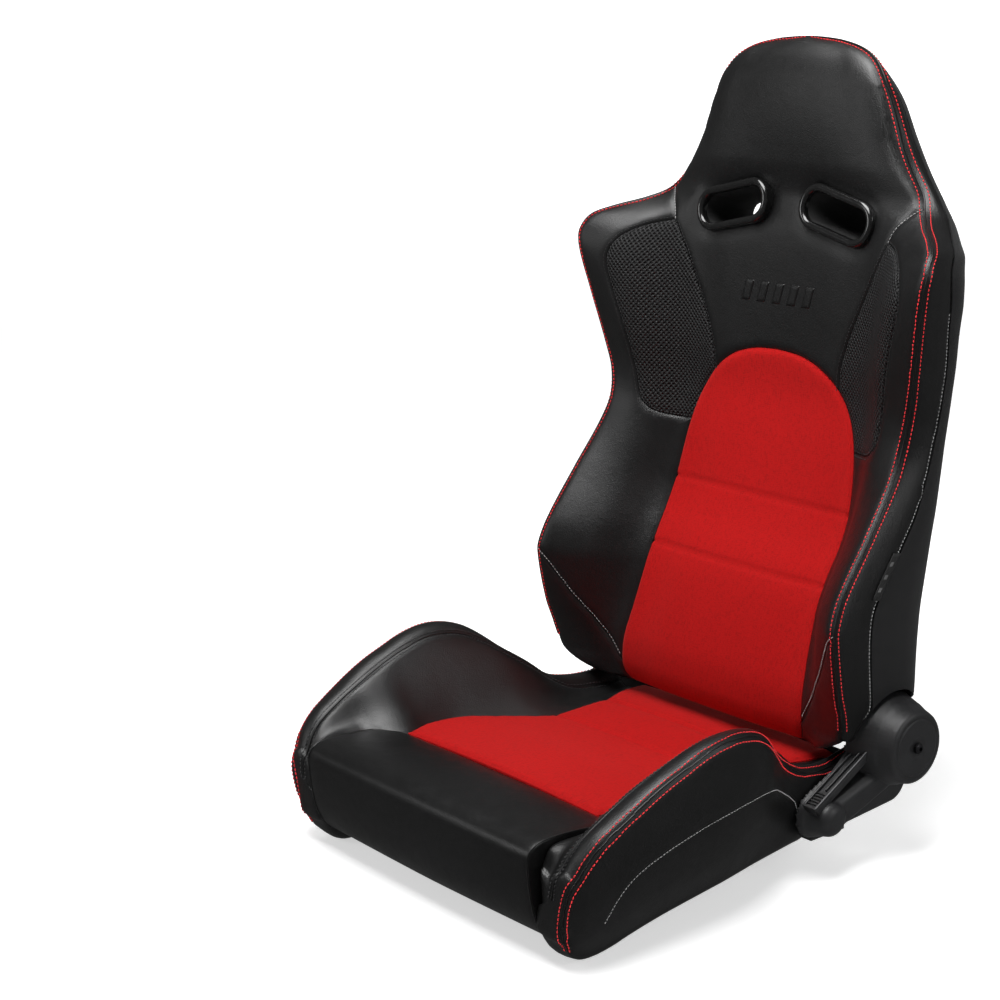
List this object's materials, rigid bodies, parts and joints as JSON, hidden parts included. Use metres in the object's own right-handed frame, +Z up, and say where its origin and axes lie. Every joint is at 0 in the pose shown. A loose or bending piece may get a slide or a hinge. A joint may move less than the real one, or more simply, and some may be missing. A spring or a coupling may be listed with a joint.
{
  "type": "racing seat",
  "caption": "Reclining bucket seat with deep side bolsters, arched red insert, two harness slots, mesh shoulder panels, one round recliner cover and its pull lever.",
  "frame": {"origin": "middle plane of the seat in X and centre of the outer box in Y, at the underside of the base rails; the outer box reaches 12 mm further on the left, where the recliner cover stands out", "axes": "+Z up, the sitter faces -Y, +X is the sitter's left hand"},
  "size_m": [0.5891, 0.6723, 0.9283],
  "materials": {
    "black_leatherette": "fine-grain black synthetic leather, satin sheen",
    "red_fabric": "bright red woven cloth, matte",
    "black_mesh_fabric": "black diamond-weave cloth, matte",
    "black_suede": "black short-nap synthetic suede",
    "woven_tag": "black woven tag, blank",
    "black_painted_steel": "satin black powder coat",
    "zinc_plated_steel": "zinc plate, semi-bright",
    "black_plastic": "moulded black plastic, satin",
    "gloss_black_plastic": "polished black plastic"
  },
  "bodies": {
    "base": {"base_rail_left": "black_painted_steel", "base_rail_right": "black_painted_steel", "base_cross_tube_front": "black_painted_steel", "base_cross_tube_rear": "black_painted_steel", "seat_spring_1": "zinc_plated_steel", "seat_spring_2": "zinc_plated_steel", "seat_spring_3": "zinc_plated_steel", "seat_spring_4": "zinc_plated_steel", "cushion_center_foam": "black_leatherette", "cushion_insert": "red_fabric", "cushion_front_roll": "black_leatherette", "cushion_bolster_left": "black_leatherette", "cushion_bolster_right": "black_leatherette", "recliner_lower_plate_left": "black_painted_steel", "recliner_lower_plate_right": "black_painted_steel", "recliner_foot_left": "black_painted_steel", "recliner_foot_right": "black_painted_steel", "recliner_lower_gear_left": "zinc_plated_steel", "clock_spring_left": "zinc_plated_steel", "recliner_cover_left": "black_plastic", "cover_screw_left": "zinc_plated_steel"},
    "back": {"back_center_foam": "black_leatherette", "back_bolster_left": "black_leatherette", "back_bolster_right": "black_leatherette", "head_foam": "black_leatherette", "back_insert": "red_fabric", "mesh_panel_left": "black_mesh_fabric", "mesh_panel_right": "black_mesh_fabric", "slot_sleeve_left": "gloss_black_plastic", "slot_sleeve_right": "gloss_black_plastic", "slot_ring_rear_left": "gloss_black_plastic", "slot_ring_rear_right": "gloss_black_plastic", "back_frame_hoop": "black_painted_steel", "back_crossbar_lower": "black_painted_steel", "back_crossbar_upper": "black_painted_steel", "back_spring_1": "zinc_plated_steel", "back_spring_2": "zinc_plated_steel", "back_spring_3": "zinc_plated_steel", "back_spring_4": "zinc_plated_steel", "rear_cover": "black_suede", "recliner_upper_plate_left": "black_painted_steel", "recliner_upper_plate_right": "black_painted_steel", "recliner_upper_gear_left": "zinc_plated_steel", "side_tag": "woven_tag"},
    "release": {"sync_rod": "zinc_plated_steel", "release_lever_left": "black_plastic"}
  },
  "joints": [
    {"name": "recline", "type": "hinge", "parent": "base", "child": "back", "pos_m": [0, 0.162, 0.14], "axis": [-1, 0, 0], "range_deg": [-12, 60]},
    {"name": "release_pull", "type": "hinge", "parent": "base", "child": "release", "pos_m": [0, 0.162, 0.14], "axis": [-1, 0, 0], "range_deg": [0, 18], "stiffness_Nm_per_rad": 3, "springref_deg": -6.88}
  ]
}
